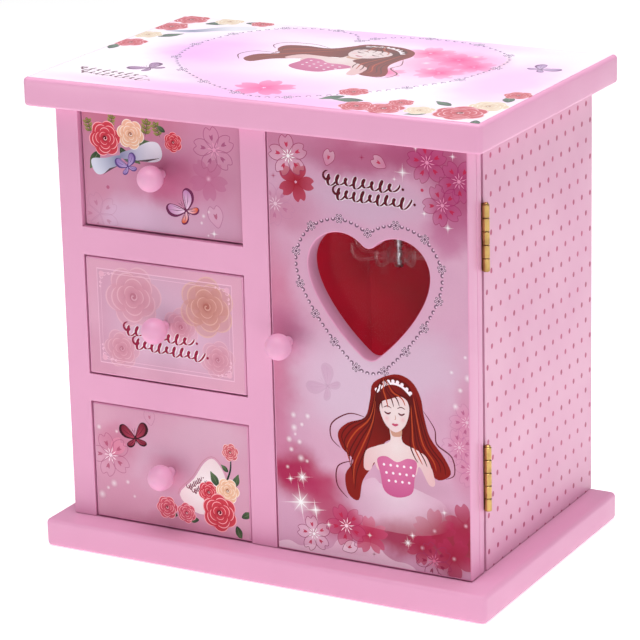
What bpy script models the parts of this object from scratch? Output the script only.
"""Ballerina jewellery box: three drawers, a windowed door, a necklace carousel and a wind-up dancer.

The origin is the centre of the base board's underside. +X runs to the right, -Y to the front
and +Z up, in metres. Every moving body has an empty on its joint's axis, and its pieces hang
from that empty.
"""
import math

import bmesh
import bpy
from mathutils import Vector

MM = 0.001

# ---- Driving dimensions -------------------------------------------------------------------
BOX_WIDTH = 208 * MM
BOX_DEPTH = 132 * MM
BOX_HEIGHT = 205 * MM
BOARD = 12 * MM                  # top board, base board and the frame's rails
BODY_LEFT = -96 * MM
BODY_RIGHT = 92.4 * MM
BODY_BACK = 65 * MM
FRONT = -54 * MM                 # plane of the front frame and of the closed door
FRONT_BOARD = 11.7 * MM          # thickness of the front frame and of the door
SIDE = 9 * MM                    # side panels and divider
BACK_BOARD = 6 * MM
THIN_BOARD = 3 * MM              # compartment floor, riser, false back and drawer trays
LINING = 1.2 * MM
GAP = 0.3 * MM                   # between glued pieces
SOFT_EDGE = 1.2 * MM             # rounding of the painted boards

# ---- Front frame and drawers --------------------------------------------------------------
BODY_BOTTOM = BOARD
BODY_TOP = BOX_HEIGHT - BOARD
DRAWER_COUNT = 3
OPENING_HEIGHT = (BODY_TOP - BODY_BOTTOM - (DRAWER_COUNT - 1) * BOARD) / DRAWER_COUNT
OPENING_LEFT = -85.6 * MM
OPENING_RIGHT = -8.9 * MM
FRAME_RIGHT = 2.9 * MM
REVEAL = 0.6 * MM                # gap round a drawer front
DRAWER_FRONT = 9 * MM
DRAWER_SETBACK = (2.0 * MM, 0.2 * MM, 0.4 * MM)     # how deep each drawer front sits, from the top
TRAY_DEPTH = 100 * MM
TRAY_HEADROOM = 7 * MM
TRAY_PLAY = 0.7 * MM
FELT = 1.5 * MM
SHELF = 5 * MM

# ---- Knobs --------------------------------------------------------------------------------
KNOB_BALL = 5.5 * MM
KNOB_REACH = 9 * MM              # from the face it stands on to the ball's centre
KNOB_NECK = 2.6 * MM
SCREW_SHANK = 1.5 * MM
SCREW_HOLE = 1.8 * MM
SCREW_HEAD = 3.2 * MM
DOOR_KNOB_X = 11.2 * MM
DOOR_KNOB_Z = 103.5 * MM

# ---- Door, heart window and hinges ---------------------------------------------------------
DOOR_LEFT = 3.5 * MM
DOOR_PLAY = 0.6 * MM             # above and below the door
DOOR_BACK = FRONT + FRONT_BOARD
HEART_X = 48.2 * MM
HEART_Z = 137.5 * MM             # height of the two lobes' centres
LOBE_RADIUS = 14.3 * MM
LOBE_SPREAD = 12.9 * MM          # from the heart's middle to a lobe's centre
NOTCH_RADIUS = 4 * MM
TIP_RADIUS = 5 * MM
TIP_DROP = 32.4 * MM             # from the lobes' centres down to the tip arc's centre
TIP_SLOPE = math.radians(38)
REBATE = 3.6 * MM                # how far the pane's seat is wider than the heart
REBATE_DEPTH = 4 * MM
PANE = 2 * MM
HINGE_X = 93.9 * MM
HINGE_Y = -41.35 * MM
HINGE_HEIGHTS = {"upper": 153 * MM, "lower": 52.5 * MM}
HINGE_LENGTH = 27.5 * MM
KNUCKLES = 5
KNUCKLE_RADIUS = 1.5 * MM
KNUCKLE_BORE = 0.85 * MM
HINGE_PIN = 0.6 * MM
LEAF = 0.5 * MM
SEAM = 1.9 * MM                  # between the door and the right side panel, for the leaves
CATCH_Z = 182 * MM
CATCH_SIZE = (6 * MM, 5 * MM, 12 * MM)
CATCH_PLATE = 0.7 * MM

# ---- Necklace carousel ---------------------------------------------------------------------
CAROUSEL_X = 40 * MM
CAROUSEL_Y = -11.3 * MM
HOOK_COUNT = 8
HOOK_REACH = 20 * MM
HOOK_ROD = 0.9 * MM
HUB_TOP = 134.6 * MM
HUB_BOTTOM = 128.6 * MM
HUB_RADIUS = 5.2 * MM
HOOK_TOP = 139 * MM

# ---- Musical movement and dancer -----------------------------------------------------------
FLOOR_TOP = 22 * MM              # of the compartment's raised floor
FALSE_BACK = 35.1 * MM           # front of the board behind the compartment
BARREL_X = 32 * MM
BARREL_Z = 62 * MM
TRAIN_Y = 45.7 * MM              # plane of the cylinder's and the spindle's axes
BARREL_REAR = 56.4 * MM
CROWN_TEETH = 36
CROWN_RADIUS = 10.8 * MM
PINION_TEETH = 12
CYLINDER_RADIUS = 6.5 * MM
BRAKE_MODULE = 0.4 * MM
BRAKE_WHEEL_TEETH = 32
BRAKE_PINION_TEETH = 8
BRAKE_DROP = BRAKE_MODULE * (BRAKE_WHEEL_TEETH + BRAKE_PINION_TEETH) / 2
SPINDLE_GEAR_TEETH = 16
TABLE_GEAR_TEETH = 32
TABLE_MODULE = 1.4 * MM
DANCER_X = 43.2 * MM
TABLE_RADIUS = 16 * MM
TABLE_TOP = 26.2 * MM
ARBOR = 1 * MM
START_X = 77 * MM
START_Z = 16 * MM
START_ROD = 0.8 * MM

FACE_FRONT = (math.radians(90), 0, 0)       # a piece's local Z looks to the front
FACE_BACK = (math.radians(-90), 0, 0)
FACE_RIGHT = (0, math.radians(90), 0)
UPRIGHT = (0, 0, 0)

GEAR_DISTANCE = TABLE_MODULE * (SPINDLE_GEAR_TEETH + TABLE_GEAR_TEETH) / 2
DANCER_Y = TRAIN_Y - math.sqrt(GEAR_DISTANCE ** 2 - (DANCER_X - BARREL_X) ** 2)

# Each moving body's joint position.
JOINTS = {
    "door": (HINGE_X, HINGE_Y, BOX_HEIGHT / 2),
    "drawer_1": ((OPENING_LEFT + OPENING_RIGHT) / 2, FRONT, BODY_TOP - OPENING_HEIGHT / 2),
    "drawer_2": ((OPENING_LEFT + OPENING_RIGHT) / 2, FRONT, BOX_HEIGHT / 2),
    "drawer_3": ((OPENING_LEFT + OPENING_RIGHT) / 2, FRONT, BODY_BOTTOM + OPENING_HEIGHT / 2),
    "carousel": (CAROUSEL_X, CAROUSEL_Y, HUB_TOP),
    "winding": (BARREL_X, BARREL_REAR, BARREL_Z),
    "note_cylinder": (BARREL_X + CROWN_RADIUS, TRAIN_Y, BARREL_Z),
    "air_brake": (BARREL_X + CROWN_RADIUS, TRAIN_Y, BARREL_Z - BRAKE_DROP),
    "drive_spindle": (BARREL_X, TRAIN_Y, BARREL_Z - CROWN_RADIUS),
    "dancer": (DANCER_X, DANCER_Y, TABLE_TOP),
    "start_rod": (START_X, DOOR_BACK, START_Z),
}

# Colour, roughness and metallic value of each material.
FINISHES = {
    "pink_paint": ((0.89, 0.42, 0.64), 0.32, 0.0),
    "side_film": ((0.90, 0.50, 0.68), 0.4, 0.0),
    "printed_film": ((0.93, 0.60, 0.74), 0.2, 0.0),
    "pink_knob": ((0.90, 0.40, 0.62), 0.25, 0.0),
    "bare_board": ((0.55, 0.38, 0.24), 0.8, 0.0),
    "red_velvet": ((0.35, 0.02, 0.05), 0.9, 0.0),
    "clear_acrylic": ((0.95, 0.97, 0.98), 0.05, 0.0),
    "hinge_brass": ((0.72, 0.55, 0.25), 0.3, 1.0),
    "bright_steel": ((0.7, 0.7, 0.72), 0.3, 1.0),
    "cast_zinc": ((0.55, 0.54, 0.52), 0.45, 1.0),
    "gear_nylon": ((0.85, 0.83, 0.78), 0.45, 0.0),
    "doll_plastic": ((0.90, 0.68, 0.58), 0.4, 0.0),
    "tutu_net": ((0.95, 0.72, 0.82), 0.8, 0.0),
}


# ---- Tools ----------------------------------------------------------------------------------
def clear_scene():
    for obj in list(bpy.data.objects):
        bpy.data.objects.remove(obj, do_unlink=True)


def new_collection(name):
    collection = bpy.data.collections.new(name)
    bpy.context.scene.collection.children.link(collection)
    return collection


def make_materials():
    materials = {}
    for name, (colour, roughness, metallic) in FINISHES.items():
        material = bpy.data.materials.new(name)
        material.use_nodes = True
        shader = material.node_tree.nodes["Principled BSDF"]
        shader.inputs["Base Color"].default_value = (*colour, 1.0)
        shader.inputs["Roughness"].default_value = roughness
        shader.inputs["Metallic"].default_value = metallic
        materials[name] = material
    return materials


def make_anchors():
    anchors = {}
    for body, place in JOINTS.items():
        anchor = bpy.data.objects.new("joint_" + body, None)
        anchor.location = place
        anchor.empty_display_size = 5 * MM
        PARTS.objects.link(anchor)
        anchors[body] = anchor
    return anchors


def add(name, mesh, finish, at=(0, 0, 0), turn=UPRIGHT, body=None):
    """Make an object of a mesh, at a place in the box's frame, hung from its body's anchor."""
    obj = bpy.data.objects.new(name, mesh)
    obj.location = at
    obj.rotation_euler = turn
    if finish:
        obj.data.materials.append(MATERIALS[finish])
    if body:
        obj.parent = ANCHORS[body]
        obj.location = Vector(at) - ANCHORS[body].location
    PARTS.objects.link(obj)
    return obj


def box(name, low, high, finish=None, body=None, edge=0.0):
    low, high = Vector(low), Vector(high)
    mesh = bpy.data.meshes.new(name)
    shape = bmesh.new()
    bmesh.ops.create_cube(shape, size=1.0)
    bmesh.ops.scale(shape, vec=high - low, verts=shape.verts)
    shape.to_mesh(mesh)
    shape.free()
    obj = add(name, mesh, finish, (low + high) / 2, UPRIGHT, body)
    if edge:
        bevel = obj.modifiers.new("soft_edge", "BEVEL")
        bevel.width = edge
        bevel.segments = 2
        bevel.limit_method = "ANGLE"
    return obj


def turned(name, profile, finish, at, turn=UPRIGHT, body=None, steps=24, ring=False):
    """Turn a profile of (radius, height) points, listed down its outer side, about local Z."""
    mesh = bpy.data.meshes.new(name)
    points = [(radius, 0.0, height) for radius, height in profile]
    edges = [(i, i + 1) for i in range(len(points) - 1)]
    if ring:
        edges.append((len(points) - 1, 0))
    mesh.from_pydata(points, edges, [])
    obj = add(name, mesh, finish, at, turn, body)
    screw = obj.modifiers.new("turning", "SCREW")
    screw.steps = steps
    screw.render_steps = steps
    screw.use_merge_vertices = True
    screw.merge_threshold = 0.00001
    screw.use_smooth_shade = True
    return obj


def mesh_of_curve(name, curve):
    """The closed mesh of a curve, with its caps welded."""
    guide = bpy.data.objects.new(name + "_guide", curve)
    PARTS.objects.link(guide)
    bpy.context.view_layer.update()
    depsgraph = bpy.context.evaluated_depsgraph_get()
    mesh = bpy.data.meshes.new_from_object(guide.evaluated_get(depsgraph))
    mesh.name = name
    mesh.materials.clear()
    bpy.data.objects.remove(guide, do_unlink=True)
    shape = bmesh.new()
    shape.from_mesh(mesh)
    bmesh.ops.remove_doubles(shape, verts=shape.verts, dist=0.000001)
    bmesh.ops.recalc_face_normals(shape, faces=shape.faces)
    shape.to_mesh(mesh)
    shape.free()
    return mesh


def flat(name, outlines, thickness, finish, at, turn=UPRIGHT, body=None):
    """A plate of even thickness about its local XY plane; outlines after the first are holes."""
    curve = bpy.data.curves.new(name, "CURVE")
    curve.dimensions = "2D"
    curve.fill_mode = "BOTH"
    curve.extrude = thickness / 2
    for outline in outlines:
        spline = curve.splines.new("POLY")
        spline.points.add(len(outline) - 1)
        for point, (x, y) in zip(spline.points, outline):
            point.co = (x, y, 0.0, 1.0)
        spline.use_cyclic_u = True
    return add(name, mesh_of_curve(name, curve), finish, at, turn, body)


def tube(name, points, radius, finish, body=None):
    """A round rod through points of the box's frame."""
    curve = bpy.data.curves.new(name, "CURVE")
    curve.dimensions = "3D"
    curve.bevel_depth = radius
    curve.bevel_resolution = 1
    curve.use_fill_caps = True
    start = Vector(points[0])
    spline = curve.splines.new("POLY")
    spline.points.add(len(points) - 1)
    for knot, place in zip(spline.points, points):
        knot.co = (*(Vector(place) - start), 1.0)
    return add(name, mesh_of_curve(name, curve), finish, start, UPRIGHT, body)


def merged(name, pieces):
    """One tool object of several separate shapes."""
    bpy.context.view_layer.update()
    shape = bmesh.new()
    for piece in pieces:
        mesh = piece.data.copy()
        mesh.transform(piece.matrix_world)
        shape.from_mesh(mesh)
        bpy.data.objects.remove(piece, do_unlink=True)
    mesh = bpy.data.meshes.new(name)
    shape.to_mesh(mesh)
    shape.free()
    return add(name, mesh, None)


def combine(obj, tool, operation):
    """Cut a tool out of an object, or join it to the object, and put the tool away."""
    boolean = obj.modifiers.new(operation.lower() + "_" + tool.name, "BOOLEAN")
    boolean.operation = operation
    boolean.solver = "EXACT"
    boolean.object = tool
    tool.display_type = "WIRE"
    tool.hide_render = True
    PARTS.objects.unlink(tool)
    CUTTERS.objects.link(tool)


def cut(obj, *tools):
    for tool in tools:
        combine(obj, tool, "DIFFERENCE")


def join(obj, *tools):
    for tool in tools:
        combine(obj, tool, "UNION")


def rod(name, radius, length, at, turn, body=None, steps=16):
    """A plain round tool, centred on its place along its own axis."""
    half = length / 2
    profile = [(0, half), (radius, half), (radius, -half), (0, -half)]
    return turned(name, profile, None, at, turn, body, steps)


def arc(centre, radius, start, stop, count):
    """Points of an arc from one angle to another, both ends included."""
    steps = [start + (stop - start) * i / count for i in range(count + 1)]
    return [(centre[0] + radius * math.cos(a), centre[1] + radius * math.sin(a)) for a in steps]


def bezier(a, b, c, d, count):
    """Inner points of a cubic curve, without its two ends."""
    points = []
    for i in range(1, count):
        t = i / count
        s = 1 - t
        points.append(tuple(s ** 3 * a[k] + 3 * s * s * t * b[k] + 3 * s * t * t * c[k]
                            + t ** 3 * d[k] for k in (0, 1)))
    return points


def heart_outline(grow=0.0):
    """The window's heart, grown outward, in the front plane: two lobes, a notch and a tip."""
    lobe = LOBE_RADIUS + grow
    notch = max(NOTCH_RADIUS - grow, 0.4 * MM)
    tip = TIP_RADIUS + grow
    notch_rise = math.sqrt((lobe + notch) ** 2 - LOBE_SPREAD ** 2)
    lean = math.atan2(notch_rise, -LOBE_SPREAD)
    lobe_arc = arc((LOBE_SPREAD, 0), lobe, lean, 0, 10)
    notch_arc = arc((0, notch_rise), notch, -math.pi / 2, lean - math.pi, 2)
    side_end = (tip * math.sin(TIP_SLOPE), -TIP_DROP - tip * math.cos(TIP_SLOPE))
    side = bezier(lobe_arc[-1], (lobe_arc[-1][0], -13 * MM),
                  (side_end[0] + 11 * MM * math.cos(TIP_SLOPE),
                   side_end[1] + 11 * MM * math.sin(TIP_SLOPE)), side_end, 7)
    tip_arc = arc((0, -TIP_DROP), tip, TIP_SLOPE - math.pi / 2, -math.pi / 2, 3)
    right = notch_arc[:-1] + lobe_arc + side + tip_arc
    left = [(-x, z) for x, z in reversed(right[1:-1])]
    return [(HEART_X + x, HEART_Z + z) for x, z in right + left]


def rectangle(left, right, bottom, top):
    return [(left, bottom), (right, bottom), (right, top), (left, top)]


def gear_outline(teeth, root, tip, root_share=0.29, tip_share=0.12, phase=0.0):
    """Straight-sided teeth, the first at the phase angle; shares are half widths in pitches."""
    pitch = 2 * math.pi / teeth
    points = []
    for tooth in range(teeth):
        middle = phase + tooth * pitch
        corners = ((root, -root_share), (tip, -tip_share), (tip, tip_share), (root, root_share))
        for radius, share in corners:
            angle = middle + share * pitch
            points.append((radius * math.cos(angle), radius * math.sin(angle)))
    return points


def spur_outline(teeth, module, phase=0.0):
    radius = teeth * module / 2
    return gear_outline(teeth, radius - 1.2 * module, radius + 0.85 * module, phase=phase)


def pinion_outline():
    return gear_outline(PINION_TEETH, 2.9 * MM, 4.0 * MM, 0.26, 0.1)


# ---- Case -----------------------------------------------------------------------------------
def make_boards():
    half_width, half_depth = BOX_WIDTH / 2, BOX_DEPTH / 2
    box("base_board", (-half_width, -half_depth, 0), (half_width, half_depth, BOARD),
        "pink_paint", edge=SOFT_EDGE)
    box("top_board", (-half_width, -half_depth, BODY_TOP), (half_width, half_depth, BOX_HEIGHT),
        "printed_film", edge=SOFT_EDGE)
    bottom, top = BODY_BOTTOM + GAP, BODY_TOP - GAP
    case_front = DOOR_BACK + GAP
    inner_left, inner_right = BODY_LEFT + SIDE, BODY_RIGHT - SIDE
    box("left_side_panel", (BODY_LEFT, case_front, bottom), (inner_left, BODY_BACK, top),
        "side_film")
    box("right_side_panel", (inner_right, DOOR_BACK + SEAM, bottom),
        (BODY_RIGHT, BODY_BACK, top), "side_film")
    back_face = BODY_BACK - BACK_BOARD
    back = box("back_panel", (inner_left + GAP, back_face, bottom),
               (inner_right - GAP, BODY_BACK, top), "pink_paint")
    cut(back, rod("key_hole", 3 * MM, 20 * MM, (BARREL_X, BODY_BACK, BARREL_Z), FACE_FRONT))
    divider_right = DOOR_LEFT - 2 * MM
    box("divider_panel", (divider_right - SIDE, case_front, bottom),
        (divider_right, back_face - GAP, top), "bare_board")
    for number, name in ((1, "lower_shelf"), (2, "upper_shelf")):
        shelf_top = BODY_BOTTOM + number * (OPENING_HEIGHT + BOARD)
        box(name, (inner_left + GAP, case_front, shelf_top - SHELF),
            (divider_right - SIDE - GAP, back_face - GAP, shelf_top), "bare_board")
    make_front_frame(bottom, top)


def make_front_frame(bottom, top):
    rail_1 = BODY_BOTTOM + OPENING_HEIGHT
    rail_2 = BODY_TOP - OPENING_HEIGHT
    outer = [(BODY_LEFT, bottom), (OPENING_LEFT, bottom), (OPENING_LEFT, rail_1),
             (OPENING_RIGHT, rail_1), (OPENING_RIGHT, bottom), (FRAME_RIGHT, bottom),
             (FRAME_RIGHT, top), (OPENING_RIGHT, top), (OPENING_RIGHT, rail_2),
             (OPENING_LEFT, rail_2), (OPENING_LEFT, top), (BODY_LEFT, top)]
    middle = rectangle(OPENING_LEFT, OPENING_RIGHT, rail_1 + BOARD, rail_2 - BOARD)
    flat("front_frame", [outer, middle], FRONT_BOARD, "pink_paint",
         (0, FRONT + FRONT_BOARD / 2, 0), FACE_FRONT)


def make_compartment():
    left = DOOR_LEFT - 2 * MM + GAP
    right = BODY_RIGHT - SIDE - GAP
    top = BODY_TOP - GAP
    riser_back = DOOR_BACK + 2 * GAP + THIN_BOARD
    floor_back = FALSE_BACK + THIN_BOARD
    felt_front = riser_back + GAP
    felt_back = FALSE_BACK - GAP
    felt_top = FLOOR_TOP + GAP + LINING
    floor = box("compartment_floor", (left, felt_front, FLOOR_TOP - THIN_BOARD),
                (right, floor_back, FLOOR_TOP), "bare_board")
    cut(floor, rod("table_hole", 4.4 * MM, 20 * MM, (DANCER_X, DANCER_Y, FLOOR_TOP), UPRIGHT))
    riser = box("floor_riser", (left, DOOR_BACK + 2 * GAP, BODY_BOTTOM + GAP),
                (right - LINING, riser_back, felt_top), "red_velvet")
    cut(riser, rod("start_hole", 1.2 * MM, 20 * MM, (START_X, riser_back, START_Z), FACE_FRONT))
    box("false_back", (left, FALSE_BACK, FLOOR_TOP + GAP), (right, floor_back, top),
        "bare_board")
    felt = box("lining_floor", (left, felt_front, FLOOR_TOP + GAP), (right, felt_back, felt_top),
               "red_velvet")
    cut(felt, rod("felt_hole", 4.4 * MM, 20 * MM, (DANCER_X, DANCER_Y, FLOOR_TOP), UPRIGHT))
    wall_bottom = felt_top + GAP
    box("lining_back", (left, felt_back - LINING, wall_bottom), (right, felt_back, top),
        "red_velvet")
    wall_back = felt_back - LINING - GAP
    box("lining_left", (left, riser_back + GAP, wall_bottom), (left + LINING, wall_back, top),
        "red_velvet")
    box("lining_right", (right - LINING, riser_back + GAP, wall_bottom),
        (right, wall_back, top), "red_velvet")
    catch_left = left + LINING + GAP
    plate_front = DOOR_BACK + GAP
    magnet_front = plate_front + CATCH_PLATE + GAP
    width, depth, height = CATCH_SIZE
    box("catch_magnet", (catch_left, magnet_front, CATCH_Z - height / 2),
        (catch_left + width, magnet_front + depth, CATCH_Z + height / 2), "bright_steel")
    box("catch_plate", (catch_left + GAP, plate_front, CATCH_Z - height / 2),
        (catch_left + width, plate_front + CATCH_PLATE, CATCH_Z + height / 2),
        "bright_steel", "door")


# ---- Knobs and drawers ----------------------------------------------------------------------
def make_knob(name, x, face, z, body):
    """A turned ball on a short neck, standing on a front face, with a blind hole behind."""
    neck_angle = math.asin(KNOB_NECK / KNOB_BALL)
    ball = arc((0, KNOB_REACH), KNOB_BALL, math.pi / 2, neck_angle - math.pi / 2, 8)
    ball[0] = (0, KNOB_REACH + KNOB_BALL)
    profile = ball + [(KNOB_NECK, GAP), (SCREW_HOLE, GAP), (SCREW_HOLE, 6.5 * MM), (0, 6.5 * MM)]
    turned(name, profile, "pink_knob", (x, face, z), FACE_FRONT, body, steps=16)


def make_knob_screw(name, x, face, z, panel, body):
    """Its head lies behind a panel of the given thickness and its shank reaches the knob."""
    under = -panel - GAP
    head = 1.4 * MM
    profile = [(0, 6 * MM), (SCREW_SHANK, 6 * MM), (SCREW_SHANK, under), (SCREW_HEAD, under),
               (SCREW_HEAD * 0.8, under - head), (0, under - head)]
    turned(name, profile, "bright_steel", (x, face, z), FACE_FRONT, body, steps=10)


def make_drawer(number):
    body = "drawer_%d" % number
    setback = DRAWER_SETBACK[number - 1]
    bottom = BODY_BOTTOM + (DRAWER_COUNT - number) * (OPENING_HEIGHT + BOARD)
    top = bottom + OPENING_HEIGHT
    face = FRONT + setback
    back = face + DRAWER_FRONT
    x, z = (OPENING_LEFT + OPENING_RIGHT) / 2, (bottom + top) / 2
    front = box(body + "_front", (OPENING_LEFT + REVEAL, face, bottom + REVEAL),
                (OPENING_RIGHT - REVEAL, back, top - REVEAL), "printed_film", body,
                edge=0.6 * MM)
    cut(front, rod(body + "_front_hole", SCREW_HOLE, 30 * MM, (x, back, z), FACE_FRONT, body))
    low = Vector((OPENING_LEFT + TRAY_PLAY, back + GAP, bottom + TRAY_PLAY))
    high = Vector((OPENING_RIGHT - TRAY_PLAY, back + GAP + TRAY_DEPTH, top - TRAY_HEADROOM))
    wall = Vector((THIN_BOARD, THIN_BOARD, THIN_BOARD))
    tray = box(body + "_tray", low, high, "bare_board", body)
    hollow_top = Vector((high.x - THIN_BOARD, high.y - THIN_BOARD, high.z + THIN_BOARD))
    cut(tray, box(body + "_hollow", low + wall, hollow_top, None, body))
    cut(tray, rod(body + "_tray_hole", SCREW_HOLE, 20 * MM, (x, back, z), FACE_FRONT, body))
    felt_low = low + wall + Vector((GAP, GAP, GAP))
    felt_high = Vector((high.x - THIN_BOARD - GAP, high.y - THIN_BOARD - GAP, felt_low.z + FELT))
    box(body + "_lining", felt_low, felt_high, "red_velvet", body)
    make_knob(body + "_knob", x, face, z, body)
    make_knob_screw(body + "_knob_screw", x, face, z, DRAWER_FRONT + GAP + THIN_BOARD, body)


# ---- Door -----------------------------------------------------------------------------------
def make_door():
    bottom, top = BODY_BOTTOM + DOOR_PLAY, BODY_TOP - DOOR_PLAY
    middle = FRONT + FRONT_BOARD / 2
    panel = flat("door_panel", [rectangle(DOOR_LEFT, BODY_RIGHT, bottom, top), heart_outline()],
                 FRONT_BOARD, "printed_film", (0, middle, 0), FACE_FRONT, "door")
    seat = flat("pane_seat", [heart_outline(REBATE)], 2 * REBATE_DEPTH, None,
                (0, DOOR_BACK, 0), FACE_FRONT, "door")
    hole = rod("door_knob_hole", SCREW_HOLE, 40 * MM, (DOOR_KNOB_X, middle, DOOR_KNOB_Z),
               FACE_FRONT, "door")
    cut(panel, seat, hole)
    pane_middle = DOOR_BACK - REBATE_DEPTH + GAP + PANE / 2
    flat("window_pane", [heart_outline(REBATE - GAP)], PANE, "clear_acrylic",
         (0, pane_middle, 0), FACE_FRONT, "door")
    make_knob("door_knob", DOOR_KNOB_X, FRONT, DOOR_KNOB_Z, "door")
    make_knob_screw("door_knob_screw", DOOR_KNOB_X, FRONT, DOOR_KNOB_Z, FRONT_BOARD, "door")


def make_leaf(name, height, plane, owned, body):
    """A butt hinge's leaf: a thin plate with tongues into the knuckles that it owns."""
    pitch = HINGE_LENGTH / KNUCKLES
    inner, edge, tongue = HINGE_X - 8 * MM, HINGE_X - 1.9 * MM, HINGE_X - 1.1 * MM
    low = height - HINGE_LENGTH / 2
    outline = [(inner, low)]
    for knuckle in range(KNUCKLES):
        reach = tongue if knuckle in owned else edge
        start = low + knuckle * pitch + (GAP if knuckle in owned else 0)
        stop = low + (knuckle + 1) * pitch - (GAP if knuckle in owned else 0)
        outline += [(edge, start), (reach, start), (reach, stop), (edge, stop)]
    outline.append((inner, low + HINGE_LENGTH))
    outline = [point for i, point in enumerate(outline) if point != outline[i - 1]]
    leaf = flat(name, [outline], LEAF, "hinge_brass", (0, plane, 0), FACE_FRONT, body)
    half = pitch / 2 - GAP / 2
    for knuckle in owned:
        ring = [(KNUCKLE_RADIUS, half), (KNUCKLE_RADIUS, -half), (KNUCKLE_BORE, -half),
                (KNUCKLE_BORE, half)]
        middle = low + (knuckle + 0.5) * pitch
        join(leaf, turned("%s_knuckle_%d" % (name, knuckle), ring, None,
                          (HINGE_X, HINGE_Y, middle), UPRIGHT, body, steps=12, ring=True))


def make_hinges():
    plane_shift = (LEAF + GAP) / 2
    for place, height in HINGE_HEIGHTS.items():
        make_leaf("hinge_door_leaf_" + place, height, HINGE_Y - plane_shift, (1, 3), "door")
        make_leaf("hinge_case_leaf_" + place, height, HINGE_Y + plane_shift, (0, 2, 4), None)
        half = HINGE_LENGTH / 2
        head = 0.7 * MM
        profile = [(0, half + head), (1.2 * MM, half + head), (1.2 * MM, half + GAP / 2),
                   (HINGE_PIN, half + GAP / 2), (HINGE_PIN, -half), (0, -half)]
        turned("hinge_pin_" + place, profile, "hinge_brass", (HINGE_X, HINGE_Y, height),
               steps=8)


# ---- Carousel -------------------------------------------------------------------------------
def make_carousel():
    top = BODY_TOP - GAP
    at = (CAROUSEL_X, CAROUSEL_Y, 0)
    bearing = [(12 * MM, top), (12 * MM, top - 1.5 * MM), (5 * MM, top - 6 * MM),
               (2.6 * MM, top - 6 * MM), (2.6 * MM, top)]
    turned("carousel_bearing", bearing, "clear_acrylic", at, steps=20, ring=True)
    post_top, post_bottom = top - GAP, HUB_TOP + GAP
    post = [(0, post_top), (2.2 * MM, post_top), (2.2 * MM, post_bottom), (1.4 * MM, post_bottom),
            (1.4 * MM, post_bottom + 6 * MM), (0, post_bottom + 6 * MM)]
    turned("carousel_post", post, "clear_acrylic", at, body="carousel", steps=16)
    screw = [(0, HUB_TOP + 5 * MM), (1.1 * MM, HUB_TOP + 5 * MM), (1.1 * MM, HUB_BOTTOM - GAP),
             (2.2 * MM, HUB_BOTTOM - GAP), (1.6 * MM, HUB_BOTTOM - 1.8 * MM),
             (0, HUB_BOTTOM - 1.8 * MM)]
    turned("carousel_screw", screw, "bright_steel", at, body="carousel", steps=12)
    hub = [(HUB_RADIUS, HUB_TOP), (HUB_RADIUS, HUB_BOTTOM + 1.5 * MM),
           (HUB_RADIUS - 1.5 * MM, HUB_BOTTOM), (1.4 * MM, HUB_BOTTOM), (1.4 * MM, HUB_TOP)]
    hooks = turned("carousel_hooks", hub, "clear_acrylic", at, body="carousel", steps=24,
                   ring=True)
    arms = []
    bend = 5 * MM
    for number in range(HOOK_COUNT):
        angle = 2 * math.pi * number / HOOK_COUNT
        low = HUB_BOTTOM + 2.8 * MM
        path = [(HUB_RADIUS - 2.2 * MM, low), (HOOK_REACH - bend, low)]
        path += arc((HOOK_REACH - bend, low + bend), bend, -math.pi / 2, 0, 4)[1:]
        path.append((HOOK_REACH, HOOK_TOP))
        places = [(CAROUSEL_X + r * math.cos(angle), CAROUSEL_Y + r * math.sin(angle), z)
                  for r, z in path]
        arms.append(tube("hook_arm_%d" % number, places, HOOK_ROD, None))
    join(hooks, merged("hook_arms", arms))


# ---- Musical movement and dancer -------------------------------------------------------------
def make_bedplate():
    plate_front, plate_back = BARREL_REAR + GAP, BODY_BACK - BACK_BOARD - GAP
    bed = box("movement_bedplate", (18 * MM, plate_front, 40 * MM), (83 * MM, plate_back, 86 * MM),
              "cast_zinc")
    into_plate = plate_front + 1 * MM
    brake_z = BARREL_Z - BRAKE_DROP
    lugs = {
        "cylinder_lug": ((45 * MM, TRAIN_Y - 4 * MM, BARREL_Z - 4 * MM),
                         (47 * MM, into_plate, BARREL_Z + 4 * MM)),
        "brake_lug": ((71 * MM, TRAIN_Y - 4 * MM, brake_z - 4 * MM),
                      (73 * MM, into_plate, BARREL_Z + 4 * MM)),
        "fan_lug": ((80.3 * MM, TRAIN_Y - 3 * MM, brake_z - 4 * MM),
                    (82 * MM, into_plate, brake_z + 4 * MM)),
        "spindle_lug": ((BARREL_X - 4 * MM, TRAIN_Y - 4 * MM, 44 * MM),
                        (BARREL_X + 4 * MM, into_plate, 46 * MM)),
        "comb_bridge": ((47.5 * MM, TRAIN_Y + 1 * MM, 74 * MM), (68 * MM, into_plate, 84 * MM)),
    }
    for name, (low, high) in lugs.items():
        join(bed, box(name, low, high))
    length = 90 * MM
    cut(bed,
        rod("arbor_hole", 2.2 * MM, 20 * MM, (BARREL_X, BARREL_REAR, BARREL_Z), FACE_FRONT),
        rod("cylinder_hole", ARBOR + GAP, length, (58 * MM, TRAIN_Y, BARREL_Z), FACE_RIGHT),
        rod("brake_hole", ARBOR, length, (58 * MM, TRAIN_Y, brake_z), FACE_RIGHT),
        rod("spindle_hole", 1.6 * MM, 20 * MM, (BARREL_X, TRAIN_Y, 45 * MM), UPRIGHT))


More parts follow.
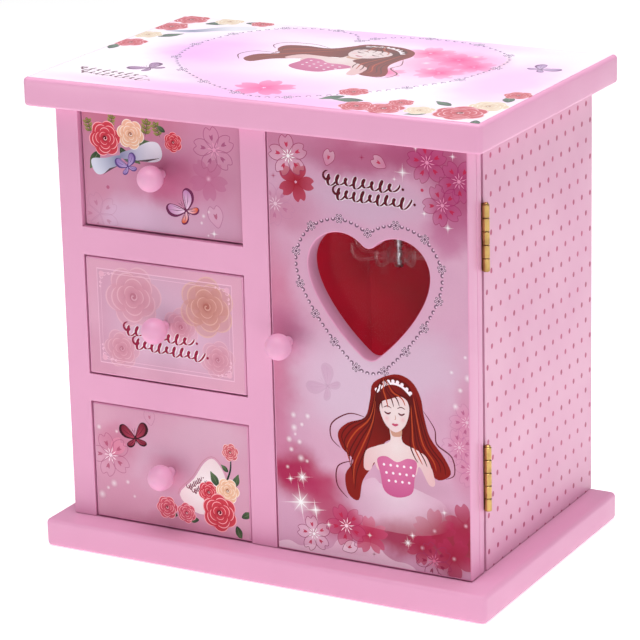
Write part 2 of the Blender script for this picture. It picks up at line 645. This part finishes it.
def make_comb():
    """A steel plate whose eighteen teeth end just over the cylinder."""
    left, right = 48 * MM, 67.5 * MM
    tips, roots, top = BARREL_Z + CYLINDER_RADIUS + 0.5 * MM, 76 * MM, 84 * MM
    teeth = 18
    pitch = (right - left) / teeth
    slot = 0.35 * MM
    outline = [(right, top), (left, top)]
    for tooth in range(teeth):
        start = left + tooth * pitch + (slot / 2 if tooth else 0)
        stop = left + (tooth + 1) * pitch - (slot / 2 if tooth < teeth - 1 else 0)
        if tooth:
            outline.append((start, roots))
        outline += [(start, tips), (stop, tips)]
        if tooth < teeth - 1:
            outline.append((stop, roots))
    flat("movement_comb", [outline], 1 * MM, "bright_steel", (0, TRAIN_Y, 0), FACE_FRONT)


def make_barrel():
    """Spring barrel with crown teeth towards the front and its arbor out of the back."""
    drum, rim, tip_plane, floor_plane = 12 * MM, 9.4 * MM, 7.65 * MM, 6.5 * MM
    arbor, arbor_end = 1.8 * MM, BARREL_REAR - BODY_BACK - 5 * MM
    at = (BARREL_X, BARREL_REAR, BARREL_Z)
    profile = [(0, floor_plane - 0.1 * MM), (rim, floor_plane - 0.1 * MM), (rim, tip_plane),
               (drum, tip_plane), (drum, 0), (arbor, 0), (arbor, arbor_end), (0, arbor_end)]
    barrel = turned("spring_barrel", profile, "hinge_brass", at, FACE_FRONT, "winding",
                    steps=CROWN_TEETH)
    slots = []
    half_slot = 0.55 * MM
    for tooth in range(CROWN_TEETH):
        slot = box("slot_%d" % tooth, (rim - 0.4 * MM, -half_slot, floor_plane),
                   (drum + 0.6 * MM, half_slot, tip_plane + 1 * MM))
        centre = slot.location.copy()
        angle = 2 * math.pi * tooth / CROWN_TEETH
        slot.rotation_euler = (0, 0, angle)
        slot.location = (centre.x * math.cos(angle), centre.x * math.sin(angle), centre.z)
        slots.append(slot)
    tool = merged("crown_slots", slots)
    tool.location = at
    tool.rotation_euler = FACE_FRONT
    cut(barrel, tool)


def make_key():
    """A wing key on the arbor's end, behind the back panel."""
    hub = 4 * MM
    start, stop = GAP * 3, 12 * MM
    profile = [(0, stop), (hub, stop), (hub, start), (2.1 * MM, start), (2.1 * MM, 6 * MM),
               (0, 6 * MM)]
    at = (BARREL_X, BODY_BACK, BARREL_Z)
    key = turned("winding_key", profile, "bright_steel", at, FACE_BACK, "winding", steps=20)
    wing = arc((7 * MM, 0), 6 * MM, -math.pi / 2, math.pi / 2, 8)
    wing += arc((-7 * MM, 0), 6 * MM, math.pi / 2, 3 * math.pi / 2, 8)
    blade = flat("key_wings", [wing], 1.8 * MM, None,
                 (BARREL_X, BODY_BACK + stop + 3 * MM, BARREL_Z), UPRIGHT, "winding")
    join(key, blade)


def make_cylinder():
    at = (0, TRAIN_Y, BARREL_Z)
    start, stop = BARREL_X + CROWN_RADIUS - 1.2 * MM, 74 * MM
    drum_start, drum_stop = 47.6 * MM, 68 * MM
    profile = [(0, stop), (ARBOR, stop), (ARBOR, drum_stop), (CYLINDER_RADIUS, drum_stop),
               (CYLINDER_RADIUS, drum_start), (ARBOR, drum_start), (ARBOR, start), (0, start)]
    cylinder = turned("note_cylinder", profile, "hinge_brass", at, FACE_RIGHT, "note_cylinder",
                      steps=28)
    pinion = flat("cylinder_pinion", [pinion_outline()], 2 * MM, None,
                  (BARREL_X + CROWN_RADIUS, TRAIN_Y, BARREL_Z), FACE_RIGHT, "note_cylinder")
    wheel = flat("brake_wheel", [spur_outline(BRAKE_WHEEL_TEETH, BRAKE_MODULE)], 1.8 * MM, None,
                 (69.6 * MM, TRAIN_Y, BARREL_Z), FACE_RIGHT, "note_cylinder")
    join(cylinder, pinion, wheel)


def make_brake():
    """The governor: a little pinion shaft with a flat fan that the air slows down."""
    z = BARREL_Z - BRAKE_DROP
    shaft = 0.7 * MM
    profile = [(0, 82 * MM), (shaft, 82 * MM), (shaft, 68.4 * MM), (0, 68.4 * MM)]
    brake = turned("air_brake", profile, "bright_steel", (0, TRAIN_Y, z), FACE_RIGHT,
                   "air_brake", steps=12)
    half_pitch = math.pi / BRAKE_PINION_TEETH
    pinion = flat("brake_pinion", [spur_outline(BRAKE_PINION_TEETH, BRAKE_MODULE, half_pitch)],
                  2 * MM, None, (69.6 * MM, TRAIN_Y, z), FACE_RIGHT, "air_brake")
    fan = box("brake_fan", (74 * MM, TRAIN_Y - 3.3 * MM, z - 0.4 * MM),
              (79.6 * MM, TRAIN_Y + 3.3 * MM, z + 0.4 * MM), None, "air_brake")
    join(brake, pinion, fan)


def make_dancer_train():
    mesh_angle = math.atan2(DANCER_Y - TRAIN_Y, DANCER_X - BARREL_X)
    shaft = 1.3 * MM
    top, bottom = BARREL_Z - CROWN_RADIUS + 1.4 * MM, BODY_BOTTOM + 0.5 * MM
    gear_middle, gear_thick = BODY_BOTTOM + 3 * MM, 4 * MM
    spindle = turned("drive_spindle", [(0, top), (shaft, top), (shaft, bottom), (0, bottom)],
                     "gear_nylon", (BARREL_X, TRAIN_Y, 0), body="drive_spindle", steps=16)
    pinion = flat("spindle_pinion", [pinion_outline()], 2 * MM, None,
                  (BARREL_X, TRAIN_Y, BARREL_Z - CROWN_RADIUS), body="drive_spindle")
    gear = flat("spindle_gear", [spur_outline(SPINDLE_GEAR_TEETH, TABLE_MODULE, mesh_angle)],
                gear_thick, None, (BARREL_X, TRAIN_Y, gear_middle), body="drive_spindle")
    join(spindle, pinion, gear)
    stem = 4 * MM
    half_pitch = math.pi / TABLE_GEAR_TEETH
    teeth = spur_outline(TABLE_GEAR_TEETH, TABLE_MODULE, mesh_angle + math.pi + half_pitch)
    bore = arc((0, 0), stem + GAP, 0, 2 * math.pi * 19 / 20, 19)
    flat("turntable_gear", [teeth, bore], gear_thick, "gear_nylon",
         (DANCER_X, DANCER_Y, gear_middle), body="dancer")
    table_bottom = FLOOR_TOP + GAP + LINING + 0.7 * MM
    profile = [(0, TABLE_TOP), (TABLE_RADIUS - 0.6 * MM, TABLE_TOP),
               (TABLE_RADIUS, TABLE_TOP - 0.6 * MM), (TABLE_RADIUS, table_bottom),
               (stem, table_bottom), (stem, bottom), (0, bottom)]
    turned("turntable", profile, "gear_nylon", (DANCER_X, DANCER_Y, 0), body="dancer", steps=32)


def make_dancer():
    """A small figure on one point, arms joined over the head, with a separate round skirt."""
    at = (DANCER_X, DANCER_Y, TABLE_TOP)
    head = arc((0, 42 * MM), 3 * MM, 1.2, -1.25, 6)
    profile = [(0, 47.4 * MM), (0.9 * MM, 47.1 * MM), (1.3 * MM, 46 * MM), (1.1 * MM, 45 * MM)]
    profile += head
    profile += [(0.95 * MM, 38 * MM), (1.1 * MM, 36.6 * MM), (2.9 * MM, 35.4 * MM),
                (2.7 * MM, 32 * MM), (1.9 * MM, 28.6 * MM), (3.1 * MM, 25 * MM),
                (2.9 * MM, 22.6 * MM), (1.7 * MM, 16 * MM), (1.1 * MM, 11 * MM),
                (0.8 * MM, 5 * MM), (0.8 * MM, GAP), (0, GAP)]
    figure = turned("dancer_figure", profile, "doll_plastic", at, body="dancer", steps=16)
    half = [(2 * MM, 34.4 * MM), (4.8 * MM, 35.2 * MM), (7.2 * MM, 38.6 * MM),
            (7.6 * MM, 42.6 * MM), (5.8 * MM, 46.6 * MM), (3 * MM, 49.2 * MM), (0, 50 * MM)]
    reach = half + [(-x, z) for x, z in reversed(half[:-1])]
    places = [(DANCER_X + x, DANCER_Y, TABLE_TOP + z) for x, z in reach]
    join(figure, tube("dancer_arms", places, 0.75 * MM, None, "dancer"))
    skirt = [(3.5 * MM, 27.2 * MM), (13.5 * MM, 24.6 * MM), (13.5 * MM, 23.6 * MM),
             (3.5 * MM, 25.8 * MM)]
    turned("dancer_tutu", skirt, "tutu_net", at, body="dancer", steps=24, ring=True)


def make_start_rod():
    """The rod that the closed door holds back; its raised end stops the air brake's fan."""
    tip = DOOR_BACK + 0.4 * MM
    stop_y = TRAIN_Y - 4.5 * MM
    bend = 4 * MM
    corner = arc((stop_y - bend, START_Z + bend), bend, -math.pi / 2, 0, 4)
    path = [(START_X, tip, START_Z)] + [(START_X, y, z) for y, z in corner]
    path.append((START_X, stop_y, BARREL_Z - BRAKE_DROP + 1 * MM))
    tube("start_rod", path, START_ROD, "bright_steel", "start_rod")


clear_scene()
PARTS = new_collection("ballerina_jewellery_box")
CUTTERS = new_collection("cutters")
MATERIALS = make_materials()
ANCHORS = make_anchors()

make_boards()
make_compartment()
for drawer_number in range(1, DRAWER_COUNT + 1):
    make_drawer(drawer_number)
make_door()
make_hinges()
make_carousel()
make_bedplate()
make_comb()
make_barrel()
make_key()
make_cylinder()
make_brake()
make_dancer_train()
make_dancer()
make_start_rod()
